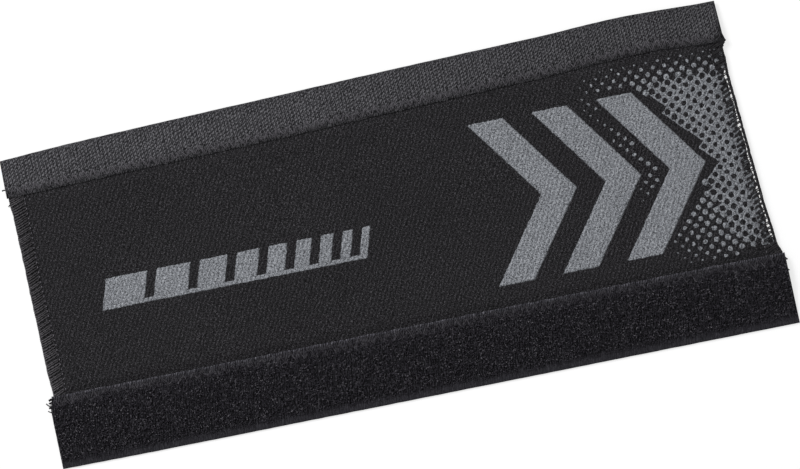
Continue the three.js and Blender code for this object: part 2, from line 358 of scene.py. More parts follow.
class Number:
    """A value that varies over a surface, written in sums and products as plain numbers are."""
    __add__ = maths("ADD")
    __radd__ = maths("ADD", True)
    __sub__ = maths("SUBTRACT")
    __rsub__ = maths("SUBTRACT", True)
    __mul__ = maths("MULTIPLY")
    __rmul__ = maths("MULTIPLY", True)
    __truediv__ = maths("DIVIDE")
    __pow__ = maths("POWER")
    root = maths("SQRT")
    sine = maths("SINE")
    floor = maths("FLOOR")
    fraction = maths("FRACT")
    least = maths("MINIMUM")
    most = maths("MAXIMUM")

    def __init__(self, finish, socket):
        self.finish = finish
        self.socket = socket

    def part(self, index):
        """Another output of the same node."""
        return Number(self.finish, self.socket.node.outputs[index])


class Finish:
    """One material: a shader whose even values are set on its own sockets, and the nodes whose
    values vary over the surface."""

    def __init__(self, name, roughness, specular):
        self.material = bpy.data.materials.new(name)
        self.material.use_nodes = True
        self.tree = self.material.node_tree
        self.shader = self.tree.nodes["Principled BSDF"]
        self.shader.inputs["Roughness"].default_value = roughness
        self.shader.inputs["Specular IOR Level"].default_value = specular

    def node(self, kind, settings, sockets, output=0):
        """A new node: its settings first, then the values or links of its sockets."""
        made = self.tree.nodes.new(kind)
        for key, value in settings.items():
            if key == "stops":
                self.set_stops(made.color_ramp, value)
            else:
                setattr(made, key, value)
        for key, value in sockets.items():
            if isinstance(value, Number):
                self.tree.links.new(value.socket, made.inputs[key])
            else:
                made.inputs[key].default_value = value
        return Number(self, made.outputs[output])

    def set_stops(self, ramp, stops):
        """Puts the stops, each a place and a grey or colour, on a colour ramp."""
        while len(ramp.elements) < len(stops):
            ramp.elements.new(0.5)
        for element, (place, colour) in zip(ramp.elements, stops):
            element.position = place
            element.color = (*colour, 1.0)

    def feed(self, socket, value):
        """Links a varying value to one of the shader's sockets."""
        self.tree.links.new(value.socket, self.shader.inputs[socket])

    def vector_maths(self, operation, sockets):
        """One Vector Math node."""
        return self.node("ShaderNodeVectorMath", {"operation": operation}, sockets)

    def scaled(self, vector, by):
        """A place or a colour times a number."""
        return self.vector_maths("SCALE", {0: vector, "Scale": by})

    def place(self):
        """Where a point of the object lies, in millimetres."""
        return self.scaled(self.node("ShaderNodeTexCoord", {}, {}, 3), 1 / MM)

    def mark(self, name):
        """A number kept at the points of the mesh."""
        return self.node("ShaderNodeAttribute", {"attribute_name": name}, {}, 2)

    def split(self, place):
        """The x and y of a place."""
        first = self.node("ShaderNodeSeparateXYZ", {}, {0: place})
        return first, first.part(1)

    def point(self, x, y, z=0.0):
        """A place from its x, y and z."""
        return self.node("ShaderNodeCombineXYZ", {}, {0: x, 1: y, 2: z})

    def noise(self, place, per_mm, detail=2.0, roughness=0.5):
        """Smooth random values round 0.5, that many waves to a millimetre."""
        settings = {"noise_dimensions": "3D"}
        sockets = {"Vector": place, "Scale": per_mm, "Detail": detail, "Roughness": roughness}
        return self.node("ShaderNodeTexNoise", settings, sockets)

    def uneven(self, place, per_mm, detail=2.0, roughness=0.5):
        """Smooth random values round 0, that many waves to a millimetre."""
        return self.noise(place, per_mm, detail, roughness) - 0.5

    def patches(self, place, per_mm, middle):
        """A level of brightness that varies a little from patch to patch."""
        return self.noise(place, per_mm, 2.0) * 0.3 + middle

    def drifted(self, place, per_mm, reach):
        """The place moved by up to about half the reach either way, smoothly over the surface."""
        colour = self.noise(place, per_mm, 1.0).part(1)
        centred = self.vector_maths("SUBTRACT", {0: colour, 1: (0.5, 0.5, 0.5)})
        return self.vector_maths("ADD", {0: place, 1: self.scaled(centred, reach)})

    def ripple(self, x, y, degrees, pitch, phase=0.0):
        """Waves from -1 to 1 across the surface, their crests square to a direction and moved
        by a phase in degrees."""
        turn = 2 * math.pi / pitch
        angle = math.radians(degrees)
        across = x * (math.cos(angle) * turn) + y * (math.sin(angle) * turn)
        return (across + math.radians(phase)).sine()

    def ranged(self, value, low, high, at_low=0.0, at_high=1.0):
        """The value stretched so that low and high become at_low and at_high, and kept there."""
        sockets = {"Value": value, "From Min": low, "From Max": high, "To Min": at_low, "To Max": at_high}
        return self.node("ShaderNodeMapRange", {"clamp": True}, sockets)

    def shaded(self, value, stops):
        """A colour from a value by a ramp."""
        return self.node("ShaderNodeValToRGB", {"stops": stops}, {0: value})

    def paint(self, value, stops, level):
        """Colours the surface by a ramp over the value, made lighter or darker by the level."""
        self.feed("Base Color", self.scaled(self.shaded(value, stops), level))

    def raise_by(self, height, distance, strength=1.0):
        """Relief on the surface from a height of 0 to 1, that many millimetres deep."""
        sockets = {"Strength": strength, "Distance": distance * MM, "Height": height}
        self.feed("Normal", self.node("ShaderNodeBump", {}, sockets))


def knit_relief(finish, place):
    """Height of the knitted face, about 0 to 1: fine grain, stretched along the steep lines of
    the knit, with three crossing sets of ripples on a place that drifts."""
    x, y = finish.split(finish.drifted(place, 0.35, 1.3))
    lines = finish.ripple(x, y, -27, 1.43) * 0.09
    crossing = finish.ripple(x, y, 32, 1.36) * 0.03 + finish.ripple(x, y, -43, 1.1) * 0.025
    steep = math.radians(63)
    along = x * (math.cos(steep) * 0.85) + y * (math.sin(steep) * 0.85)
    beside = x * math.sin(steep) - y * math.cos(steep)
    flecks = finish.uneven(finish.point(along, beside), 2.2, 1.0)
    grain = finish.uneven(place, 3.4, 2.0, 0.6)
    return lines + crossing + flecks * 1.25 + grain * 2.3 + 0.49


def over_knit(name, roughness, specular, stops, patches_per_mm, depth, strength):
    """A finish on the knit, coloured by its relief and slightly uneven all over."""
    finish = Finish(name, roughness, specular)
    place = finish.place()
    relief = knit_relief(finish, place)
    finish.paint(relief, stops, finish.patches(place, patches_per_mm, 0.85))
    finish.raise_by(relief, depth, strength)
    return finish.material


def knit_finish():
    """Black knit on foam: darker in the dips, painted shade of its relief, with pale flecks."""
    # Painted shade: the ramp darkens the knit where its relief dips.
    stops = [
        (0.15, (0.0058, 0.0056, 0.0061)),
        (0.5, (0.0186, 0.018, 0.0197)),
        (0.78, (0.042, 0.0405, 0.0443)),
        (1.0, (0.1, 0.097, 0.106)),
    ]
    return over_knit("knit_foam", 0.85, 0.06, stops, 0.03, 0.2, 0.8)


def ink_finish():
    """Grey screen print: broken by dark pits where the knit under it dips."""
    stops = [
        (0.1, (0.052, 0.0535, 0.0575)),
        (0.35, (0.15, 0.157, 0.172)),
        (0.6, (0.256, 0.268, 0.292)),
        (1.0, (0.47, 0.486, 0.516)),
    ]
    return over_knit("print_ink", 0.8, 0.12, stops, 0.06, 0.18, 0.7)


def weave(finish, u, v):
    """Height of the hook tape's weave, round 0: leaning strokes in columns, every other column
    half a row higher, as four crossing sets of ripples that peak together."""
    rows = finish.ripple(u, v, -63.4, 1.147, 90) * 0.19 + finish.ripple(u, v, 63.4, 1.147, 70) * 0.08
    columns = finish.ripple(u, v, 0, 1.28, 90) * 0.16 + finish.ripple(u, v, -33.7, 0.711, 126) * 0.24
    return rows + columns


def leaning_grain(finish, u, v, degrees, per_mm, stretch):
    """Random fine strokes that lean by an angle, round 0: noise stretched along that line."""
    angle = math.radians(degrees)
    along = (u * math.cos(angle) + v * math.sin(angle)) * stretch
    beside = u * math.sin(angle) - v * math.cos(angle)
    return finish.uneven(finish.point(along, beside, degrees * 0.1), per_mm, 1.0)


def hook_tape_finish():
    """Dark grey woven nylon: a weave of leaning strokes, plainer near the free edge, ribbed and
    darker with steeper strokes along the sewn edge, the darkening there painted shade where the
    tape rolls down into the seam, and needle holes of chance depth by the seam."""
    finish = Finish("hook_tape", 0.75, 0.08)
    place = finish.place()
    along = finish.mark("along")
    across = finish.mark("across")
    drift = finish.uneven(place, 0.3, 2.0, 0.6)
    u = along + drift * 1.3
    v = across + finish.uneven(place, 0.25, 2.0, 0.6) * 1.1
    strokes = leaning_grain(finish, u, v, 63, 2.8, 0.6) * 1.4
    strokes = strokes + leaning_grain(finish, u, v, 110, 2.8, 0.6) * 0.9
    grain = finish.uneven(place, 3.4, 1.0) * 2.7
    ribs = finish.ripple(along + drift * 2.4, across, 14, 0.85) * 0.12
    free = finish.ranged(finish.mark("rim"), 0.5, 1.9, 0.4, 1.0)
    sewn = finish.ranged(across + drift * 1.6, 2.2, 3.3)
    woven = weave(finish, u, v) * free * sewn * 1.15
    steep = leaning_grain(finish, u, v, 80, 2.0, 0.35) * 2.6 * (1 - sewn)
    pattern = woven + ribs * (1 - sewn * free) + strokes * 0.9 + steep + grain
    relief = pattern * 0.98 - (1 - free) * 0.08 + 0.445
    stops = [
        (0.0, (0.011, 0.0108, 0.0122)),
        (0.25, (0.0265, 0.026, 0.029)),
        (0.5, (0.0535, 0.0526, 0.058)),
        (0.75, (0.096, 0.0948, 0.1025)),
        (1.0, (0.156, 0.154, 0.166)),
    ]
    ends = finish.ranged(along.least(HOOK_TAPE_LENGTH - along), 0.1, 0.6, 0.4, 1.0)
    ends = ends * finish.ranged(across * 0.5 + (HOOK_TAPE_LENGTH - along), 1.0, 4.5, 0.55, 1.0)
    # Painted shade: darker towards the sewn edge, where the tape rolls down into the seam.
    pressed = finish.ranged(across + drift * 0.8, 0.2, 3.4, 0.47, 0.98)
    number = (along / SEAM_PITCH).floor()
    chance = finish.node("ShaderNodeTexWhiteNoise", {"noise_dimensions": "1D"}, {"W": number})
    beside = ((along / SEAM_PITCH).fraction() - 0.5) * SEAM_PITCH
    spot = ((beside / 1.25) ** 2 + (across - chance * 0.5 - 3.7) ** 2).root()
    holes = finish.ranged(spot, 0.15, 0.5, 0.0, 1.0).most(chance * 0.9 + 0.2)
    broad = finish.patches(place, 0.05, 0.82) - finish.split(place)[0] * 0.0007
    finish.paint(relief, stops, broad * ends * holes * pressed)
    finish.raise_by(relief, 0.16, 0.8)
    return finish.material


def loop_tape_finish():
    """Black woven ground of the loop tape: ribs square to its edges on the plain strips, and a
    painted highlight along its rolled sewn edge.
    """
    finish = Finish("loop_tape_ground", 0.8, 0.06)
    place = finish.place()
    along = finish.mark("along")
    across = finish.mark("across")
    drift = finish.uneven(place, 0.6, 1.0)
    ribs = finish.ripple(along + drift * 1.6, across, 8, 0.85) * 0.16
    strokes = leaning_grain(finish, along, across, 97, 1.9, 0.35) * 0.9
    grain = finish.uneven(place, 2.2, 2.0, 0.6)
    selvedge = finish.ranged(across + drift * 2.0, 2.0, 3.4, 1.0, 0.0)
    # Painted highlight: lighter along the rolled sewn edge, which faces the light.
    lit = finish.ranged(across + grain * 0.8, 0.2, 1.05, 1.0, 0.0)
    foot = finish.ranged(finish.mark("rim") + drift * 2.0, 2.0, 3.6, 1.0, 0.0)
    relief = (ribs + strokes + grain * 1.1) * (1.15 - foot * 0.75) + 0.5
    stops = [
        (0.2, (0.0065, 0.0063, 0.0075)),
        (0.5, (0.021, 0.0204, 0.024)),
        (0.75, (0.05, 0.0488, 0.0567)),
        (1.0, (0.1, 0.098, 0.11)),
    ]
    level = selvedge * 0.3 + lit * 0.95 + foot * 0.5 + 0.64
    finish.paint(relief, stops, level)
    finish.raise_by(relief, 0.25, 0.8)
    return finish.material


def pile_finish():
    """Black nylon loops, each its own shade, with a slight shine and painted glints on the palest."""
    finish = Finish("loop_pile", 0.42, 0.19)
    shade = finish.mark("shade")
    grain = finish.uneven(finish.place(), 3.6, 1.0)
    # The top two stops paint glints: painted highlights on the palest loops.
    stops = [
        (0.0, (0.0185, 0.017, 0.0212)),
        (0.5, (0.0427, 0.0392, 0.049)),
        (0.85, (0.0775, 0.0722, 0.087)),
        (0.95, (0.128, 0.121, 0.14)),
        (1.0, (0.245, 0.234, 0.257)),
    ]
    finish.feed("Base Color", finish.shaded(shade + grain * 1.2, stops))
    return finish.material


def thread_finish(name, grey, blue, roughness, least=1.0, painted_light_and_tone=0.0):
    """Twisted polyester thread: even in colour but for faint patches, with fine fibres raised.
    Its colour is scaled up from its least level by the points' own shade mark, which carries
    painted light and shade together with each strand's own tone."""
    finish = Finish(name, roughness, 0.12)
    place = finish.place()
    fibre = finish.noise(place, 3.0, 3.0, 0.6)
    green = grey * 0.95
    dark = (grey * 0.45, green * 0.45, blue * 0.45)
    plain = (grey, green, blue)
    pale = (grey * 2.1, green * 2.1, blue * 2.1)
    colour = finish.shaded(fibre, [(0.25, dark), (0.5, plain), (0.8, pale)])
    # Painted light and shade, with the strands' own tone, from the points' shade mark.
    if painted_light_and_tone:
        colour = finish.scaled(colour, finish.mark("shade") * painted_light_and_tone + least)
    finish.feed("Base Color", colour)
    finish.raise_by(fibre, 0.06, 0.6)
    return finish.material


def hook_finish():
    """Black nylon hooks, moulded smooth, faintly uneven in shade."""
    finish = Finish("hook_nylon", 0.4, 0.4)
    patches = finish.noise(finish.place(), 0.8, 2.0)
    stops = [(0.2, (0.012, 0.012, 0.013)), (0.8, (0.03, 0.03, 0.032))]
    finish.feed("Base Color", finish.shaded(patches, stops))
    return finish.material


# Short edges
CHAIN_WANDER = 0.08


def left_chain(y):
    """How far in from the left outline the edge thread lies: further by the loop tape."""
    settled = 0.52 + 0.35 * eased((LOOP_SEAM_Y + 9 - y) / 6) - 0.3 * step(y, 34, 38)
    return settled + CHAIN_WANDER * cloud(y, y, 3.0, 91)


def right_chain(y):
    """How far in from the right outline the edge thread lies: it runs outward by the loop tape."""
    settled = 0.6 + 0.42 * step(y, -28, -10) - 0.42 * step(y, 34.5, 40.5)
    outward = 0.85 * eased((LOOP_SEAM_Y + 4.2 - y) / 3.8)
    return settled - outward + CHAIN_WANDER * cloud(y, y, 4.0, 92)


def left_foam_inset(y):
    """How far in from the left outline the foam begins: right behind the edge thread."""
    return left_chain(y) + 0.05 + 0.08 * cloud(y, y, 1.7, 8)


def right_foam_inset(y):
    """How far in from the right outline the foam ends: it shrinks from the edge thread by an
    uneven gap, but not near either tape."""
    open_share = eased((y - LOOP_SEAM_Y - 4.5) / 4) * eased((HOOK_SEAM_AT_RIGHT - 7 - y) / 4)
    return right_chain(y) + 0.3 + open_share * (0.86 + 0.62 * cloud(y, y, 2.1, 9))


def left_reach(y):
    """How far in from the left outline the needle line runs: nearest in the middle."""
    return 4.95 - 0.33 * np.cos(2 * math.pi * (y - 8) / 60)


def right_reach(y):
    """How far in from the right outline the needle line runs, with a slight wander."""
    return 4.85 + 0.2 * cloud(y, y, 11, 95)


# Foam panel
def rolled(distance):
    """How much a sewn line presses the foam at a distance: all of it up to 0, none past a roll."""
    return 1 - eased(distance / ROLL_WIDTH)


HOOK_PUCKER = 0.1
LOOP_PUCKER = 0.07


def panel_press(x, y, left, right):
    """How far each face is pressed in: by the two tapes' seams and by the wrapped short edges,
    whichever presses most, with a slight pull at every stitch of both seams."""
    hook_side = rolled(hook_seam_y(x) - TAPE_EDGE_MARGIN - y)
    loop_side = rolled(y - loop_seam_y(x) - TAPE_EDGE_MARGIN)
    wrapped = rolled(np.minimum(left, right) - OVERLOCK_REACH - BAND_MARGIN)
    pulled = 0.5 + 0.5 * np.cos(2 * math.pi * x / SEAM_PITCH)
    pucker = HOOK_PUCKER * pulled * np.exp(-np.maximum(hook_seam_y(x) - y, 0) / 1.6)
    pucker += LOOP_PUCKER * pulled * np.exp(-np.maximum(y - loop_seam_y(x), 0) / 1.4)
    return RELIEF * np.maximum(np.maximum(hook_side, loop_side), wrapped) + pucker


def panel_top(x, y):
    """Height of the panel's face: the foam's thickness less the press, with faint swells."""
    left = x - left_outline(y)
    right = right_outline(y) - x
    swell = 0.05 * cloud(x, y, 14, 3) + 0.03 * cloud(x, y, 4, 5)
    return PANEL_THICKNESS - panel_press(x, y, left, right) + swell


PANEL_STEP_ALONG = 0.95
PANEL_STEP_ACROSS = 1.25
PANEL_CROWDING = 0.44


def make_panel():
    """The foam sheet: a closed shell over a grid between its four edges, its rim rounded. The
    grid's lines are crowded towards both tapes by a sine."""
    radius = PANEL_RIM_RADIUS
    width = HOOK_SEAM_AT_LEFT - LOOP_SEAM_Y + HOOK_LAP + LOOP_LAP
    along = rim_steps(2 * -TAPE_LEFT, PANEL_STEP_ALONG, radius)
    across = rim_steps(width, PANEL_STEP_ACROSS, radius)
    across = across - PANEL_CROWDING * np.sin(2 * math.pi * across) / (2 * math.pi)
    share, up = np.meshgrid(along, across, indexing="ij")
    rough_x = blend(TAPE_LEFT, LOOP_TAPE_RIGHT, share)
    low = LOOP_SEAM_Y - LOOP_LAP
    high = hook_seam_y(rough_x) + HOOK_LAP
    y = blend(low, high, up)
    left_edge = left_outline(y) + left_foam_inset(y)
    right_edge = right_outline(y) - right_foam_inset(y)
    x = blend(left_edge, right_edge, share)
    press = panel_press(x, y, x - left_outline(y), right_outline(y) - x)
    top = panel_top(x, y)
    bottom = press * RELIEF / (RELIEF + HOOK_PUCKER)
    full = rounded_rim(x - left_edge, right_edge - x, y - low, high - y, radius)
    middle = (top + bottom) / 2
    points = shell_points(x, y, blend(middle, top, full), blend(middle, bottom, full))
    quads = shell_grid(*x.shape)
    return make_piece("foam_panel", points, quads, no_faces(3), knit_finish(), "knit_foam")


# Tapes
def sewn_press(across):
    """How much thinner a tape is pressed by its seam at a distance from its sewn edge."""
    return SEWN_THINNING * eased((SEWN_BAND - across) / SEWN_SLOPE)


def make_tape(name, ends, low, high, up, underside, thickness, finish, slot, across_from_top):
    """A tape as a closed shell: x between its two end lines, y from its low to its high edge,
    its underside a given height and its rim rounded. Keeps how far each point lies along it,
    from its sewn edge and from its free one."""
    left, right, share = ends
    x = blend(left, right, share)
    y = blend(low, high, up)
    under = underside(x, y)
    full = rounded_rim(x - left, right - x, y - low, high - y, TAPE_RIM_RADIUS)
    across = high - y if across_from_top else y - low
    rim = y - low if across_from_top else high - y
    pressed = thickness - sewn_press(across)
    points = shell_points(x, y, under + pressed * (1 + full) / 2, under + pressed * (1 - full) / 2)
    marks = {"along": x - left, "across": across, "rim": rim}
    marks = {mark: shell_values(values, values) for mark, values in marks.items()}
    return make_piece(name, points, shell_grid(*x.shape), no_faces(3), finish, slot, marks)


def hook_underside(x, y):
    """Underside of the hook tape: level on the panel, then down in a line to the free edge, so
    that the hooks there just touch what the wrap lies on, with a faint wave."""
    bent = hook_seam_y(x) + HOOK_LAP + BAND_MARGIN
    share = np.clip((y - bent) / (hook_free_y(x) - bent), 0, 1)
    wave = 0.12 * cloud(x, y, 17, 21) * share
    return blend(BAND_TOP, HOOK_LENGTH + 0.15, share) + wave


def loop_underside(x, y):
    """Underside of the loop tape: level on the panel, then down in a line to the floor."""
    bent = LOOP_SEAM_Y - LOOP_LAP - BAND_MARGIN
    share = np.clip((bent - y) / (bent - LOOP_FREE_Y), 0, 1)
    return BAND_TOP * (1 - share) * (1 + 0.05 * cloud(x, y, 15, 22))


HOOK_TAPE_STEPS = (0.75, 0.45)
HOOK_TAPE_WIDTH = 14.2
LOOP_TAPE_STEPS = (0.9, 0.8)
LOOP_TAPE_WIDTH = 25.0
HOOK_LEFT_OVERHANG = 0.25
HOOK_RIGHT_SKEW = (0.3, -0.35)
LOOP_LEFT_INSET = 0.4
LOOP_CORNER_CUT = 1.05
LOOP_RIGHT_SKEW = (0.25, -0.4)


def tape_grid(length, width, steps):
    """Shares along and across a tape at the points of its grid, finer at its rim."""
    along = rim_steps(length, steps[0], TAPE_RIM_RADIUS)
    across = rim_steps(width, steps[1], TAPE_RIM_RADIUS)
    return np.meshgrid(along, across, indexing="ij")


def make_hook_tape():
    """The hook tape's woven band, its inner edge slightly uneven."""
    share, up = tape_grid(HOOK_TAPE_LENGTH, HOOK_TAPE_WIDTH, HOOK_TAPE_STEPS)
    x = blend(TAPE_LEFT, HOOK_TAPE_RIGHT, share)
    left = TAPE_LEFT - HOOK_LEFT_OVERHANG + 0 * up
    ends = (left, HOOK_TAPE_RIGHT + blend(*HOOK_RIGHT_SKEW, up), share)
    low = hook_seam_y(x) + 0.15 + 0.16 * cloud(x, x * 0, 1.6, 31)
    high = hook_free_y(x) + 0.04 * cloud(x, x * 0, 3.1, 32)
    return make_tape(
        "hook_tape_band", ends, low, high, up, hook_underside, HOOK_TAPE_THICKNESS,
        hook_tape_finish(), "hook_tape", False,
    )


def make_loop_tape():
    """The loop tape's woven ground, its upper left corner cut off in a curve."""
    share, up = tape_grid(2 * -TAPE_LEFT, LOOP_TAPE_WIDTH, LOOP_TAPE_STEPS)
    x = blend(TAPE_LEFT, LOOP_TAPE_RIGHT, share)
    left = TAPE_LEFT + LOOP_LEFT_INSET + LOOP_CORNER_CUT * step(up, 0.8, 1.0)
    ends = (left, LOOP_TAPE_RIGHT + blend(*LOOP_RIGHT_SKEW, up), share)
    low = LOOP_FREE_Y + 0.04 * cloud(x, x * 0, 3.1, 33) - 0.07 + 0.2 * step(x, -100, -130)
    high = loop_seam_y(x) + 0.16 * cloud(x, x * 0, 1.1, 34)
    return make_tape(
        "loop_tape_band", ends, low, high, up, loop_underside, LOOP_TAPE_THICKNESS,
        loop_tape_finish(), "loop_tape", True,
    )


PILE_LOW = LOOP_FREE_Y + LOOP_SELVEDGE - 0.3
PILE_HIGH = LOOP_SEAM_Y - 1.2
PILE_LOOPS = 8300
PILE_STEPS = 4
PILE_SIDES = 3
PILE_FOOT = 0.15


def make_pile(name, seed, finish):
    """Loops of the pile: each a half-sine arch on the tape, turned at random and leaning over."""
    draw = np.random.default_rng(seed)
    x = draw.uniform(TAPE_LEFT + 0.5, LOOP_TAPE_RIGHT - 0.5, PILE_LOOPS)
    y = draw.uniform(PILE_LOW, PILE_HIGH, PILE_LOOPS)
    heading = draw.uniform(0, 2 * math.pi, PILE_LOOPS)
    width = draw.uniform(0.3, 0.8, PILE_LOOPS)
    edge = eased((y - PILE_LOW) / 2.4) * eased((PILE_HIGH - y) / 3.0)
    height = draw.uniform(0.6, 1.1, PILE_LOOPS) * blend(0.4, 1.0, edge)
    height = height * (1 + 0.22 * cloud(x, y, 3.4, seed + 1))
    lean = draw.normal(0, 0.34, PILE_LOOPS)
    share = np.linspace(0, 1, PILE_STEPS)
    arch = np.sin(math.pi * share)
    out = (share - 0.5)[None] * width[:, None] * (1 + 0.35 * arch)
    over = lean[:, None] * arch ** 1.5
    base = loop_underside(x, y) + LOOP_TAPE_THICKNESS - PILE_FOOT
    path_x = x[:, None] + out * np.cos(heading)[:, None] - over * np.sin(heading)[:, None]
    path_y = y[:, None] + out * np.sin(heading)[:, None] + over * np.cos(heading)[:, None]
    path_x = np.clip(path_x, TAPE_LEFT + 0.5, LOOP_TAPE_RIGHT - 0.25)
    path_z = base[:, None] + (height[:, None] + PILE_FOOT) * arch
    paths = np.stack([path_x, path_y, path_z], axis=-1)
    level = np.stack([-np.sin(heading), np.cos(heading), np.zeros(PILE_LOOPS)], axis=-1)[:, None]
    thickness = draw.uniform(0.075, 0.12, PILE_LOOPS)[:, None]
    shade = draw.uniform(0, 1, PILE_LOOPS) * blend(0.5, 1.0, edge)
    shades = {"shade": np.repeat(shade, PILE_STEPS * PILE_SIDES)}
    return make_piece(name, *tubes(paths, thickness, PILE_SIDES, level), finish, "loop_tape", shades)


HOOK_PITCH = 1.5
HOOK_ROWS = 7
HOOK_END_MARGIN = 0.9
HOOK_OUT = np.array([0, 0, 0.08, 0.32, 0.54, 0.58])
HOOK_DOWN = np.array([-0.1, 0.75, 1.08, 1.2, 1.08, 0.82])
HOOK_RADII = np.array([0.13, 0.11, 0.1, 0.1, 0.09, 0.05])


def make_hooks():
    """Hooks under the free part of the hook tape: a straight stem down, then a half circle up,
    in staggered rows that face each way in turn."""
    columns = int(HOOK_TAPE_LENGTH / HOOK_PITCH)
    column, row = np.meshgrid(np.arange(columns), np.arange(HOOK_ROWS), indexing="ij")
    column = column.ravel()
    row = row.ravel()
    astray = np.random.default_rng(41).uniform(-0.12, 0.12, column.size)
    x = TAPE_LEFT + HOOK_END_MARGIN + HOOK_PITCH * column + HOOK_PITCH / 2 * (row % 2) + astray
    x = np.clip(x, TAPE_LEFT + HOOK_END_MARGIN, HOOK_TAPE_RIGHT - HOOK_END_MARGIN)
    low = hook_seam_y(x) + HOOK_LAP + 0.7
    high = hook_free_y(x) - HOOK_SELVEDGE
    y = blend(low, high, row / (HOOK_ROWS - 1))
    facing = np.where(row % 2 == 0, 1.0, -1.0)
    paths = np.stack([
        x[:, None] + facing[:, None] * HOOK_OUT,
        np.broadcast_to(y[:, None], (x.size, HOOK_OUT.size)),
        hook_underside(x, y)[:, None] - HOOK_DOWN,
    ], axis=-1)
    shapes = tubes(paths, HOOK_RADII, 4, np.array([0.0, 1.0, 0.0]))
    return make_piece("hooks", *shapes, hook_finish(), "hook_tape")


# Threads
OBLIQUE = np.array([0.25, 0.7, 0.66])
THREAD_RADIUS = 0.24
THREAD_LAY = 3.2
RIM_THREAD_RADIUS = 0.28
RIM_THREAD_LAY = 2.4
NEEDLE_THREAD_RADIUS = 0.17
NEEDLE_STITCH = 0.42
NEEDLE_ARCH = 0.5
FACE_SPACING = 0.22
BACK_SPACING = 0.42
BEND_ROUNDING = 0.22
LEFT_RIM_INSETS = (0.0, 0.24)
RIGHT_RIM_INSETS = (0.0, 0.46)
OVERLOCK_PITCH = 1.75
OVERLOCK_ASTRAY = 0.28
OVERLOCK_SEED = 51
LEFT_SLANT = 1.7
RIGHT_SLANT = -1.5
LEFT_PAIR_GAP = 0.8
RIGHT_PAIR_GAP = 0.57
UPPER_LEVELS = (1.68, 2.3, 2.5)
LOWER_LEVELS = (1.28, 0.7, 0.5)
OVERLOCK_END_MARGIN = 1.5
EDGE_LOW = LOOP_SEAM_Y - LOOP_LAP + OVERLOCK_END_MARGIN
LEFT_HIGH = HOOK_SEAM_AT_LEFT + HOOK_LAP - OVERLOCK_END_MARGIN
RIGHT_HIGH = HOOK_SEAM_AT_RIGHT + HOOK_LAP - OVERLOCK_END_MARGIN


class Stitching:
    """Where the threads of one short edge run: its outer line and the way in from it (1 or -1),
    how far in its edge thread and its needle line lie, how its stitches slant and how wide their
    pairs are, how far each thread along the edge lies from the first, and its lowest and
    highest y."""

    def __init__(self, outline, inward, chain, needle, slant, gap, rim_insets, low, high):
        self.outline = outline
        self.inward = inward
        self.chain = chain
        self.needle = needle
        self.slant = slant
        self.gap = gap
        self.rim_insets = rim_insets
        self.low = low
        self.high = high

    def numbers(self):
        """The numbers of its stitches."""
        return np.arange(int((self.high - self.low) / OVERLOCK_PITCH))

    def x(self, y, inset):
        """The x at a distance in from the outer line."""
        return self.outline(y) + self.inward * inset


LEFT = Stitching(
    left_outline, 1, left_chain, left_reach, LEFT_SLANT, LEFT_PAIR_GAP, LEFT_RIM_INSETS,
    EDGE_LOW, LEFT_HIGH,
)
RIGHT = Stitching(
    right_outline, -1, right_chain, right_reach, RIGHT_SLANT, RIGHT_PAIR_GAP, RIGHT_RIM_INSETS,
    EDGE_LOW + 0.4, RIGHT_HIGH,
)


def looper_path(edge, levels, spacing):
    """One looper thread of an overlocked edge. For each stitch it runs in from the edge to the
    needle line, a little way along it and back out, so that its legs lie in slanting pairs, and
    then along the edge to the next stitch."""
    draw = np.random.default_rng(OVERLOCK_SEED)
    number = edge.numbers()
    astray = draw.uniform(-OVERLOCK_ASTRAY, OVERLOCK_ASTRAY, number.size)
    y = edge.low + OVERLOCK_PITCH * number + astray
    reach = edge.needle(y + edge.slant) + draw.uniform(-0.3, 0.12, number.size)
    apart = edge.gap * (1 + draw.uniform(-0.25, 0.25, number.size))
    rim, shoulder, face = levels
    inward_leg = [(0.0, 0.0, rim), (0.35, 0.1, shoulder), (1.0, 0.2, face), (None, 1.0, face)]
    bends = [(*bend, 0) for bend in inward_leg] + [(*bend, 1) for bend in reversed(inward_leg)]
    out = edge.chain(y)
    inset = np.stack([reach if bend[0] is None else out + bend[0] for bend in bends], axis=1)
    along = np.stack([y + bend[1] * edge.slant + bend[3] * apart for bend in bends], axis=1)
    height = np.broadcast_to(np.array([bend[2] for bend in bends]), along.shape)
    corners = np.stack([edge.x(along, inset), along, height], axis=-1).reshape(-1, 3)
    return even_path(corners, spacing, BEND_ROUNDING)


def under_tapes(line):
    """The line pressed into the foam wherever a tape covers it, so that the tape lies flat."""
    hook_side = eased((line[:, 1] - hook_seam_y(line[:, 0]) + 0.25) / 0.4)
    loop_side = eased((loop_seam_y(line[:, 0]) + 0.25 - line[:, 1]) / 0.4)
    pressed = line.copy()
    pressed[:, 2] -= 0.62 * np.maximum(hook_side, loop_side) * eased((line[:, 2] - 1.4) / 0.8)
    return pressed


def needle_stitches(name, edge, finish):
    """The needle thread's short stitches, each a low arch that lies along the needle line."""
    y = edge.low + edge.slant + OVERLOCK_PITCH * edge.numbers() + 0.3
    x = edge.outline(y)
    y = y[(y > loop_seam_y(x) + 0.6) & (y < hook_seam_y(x) - 0.6)]
    share = np.linspace(0, 1, 7)
    run = y[:, None] + (share - 0.5) * NEEDLE_STITCH
    height = BAND_TOP + 0.22 + NEEDLE_ARCH * np.sin(math.pi * share) + 0 * run
    paths = np.stack([edge.x(run, edge.needle(run) + 0.28), run, height], axis=-1)
    shapes = tubes(paths, NEEDLE_THREAD_RADIUS, 6, np.array([1.0, 0.0, 0.0]))
    return make_piece(name, *shapes, finish, "sewing_thread")


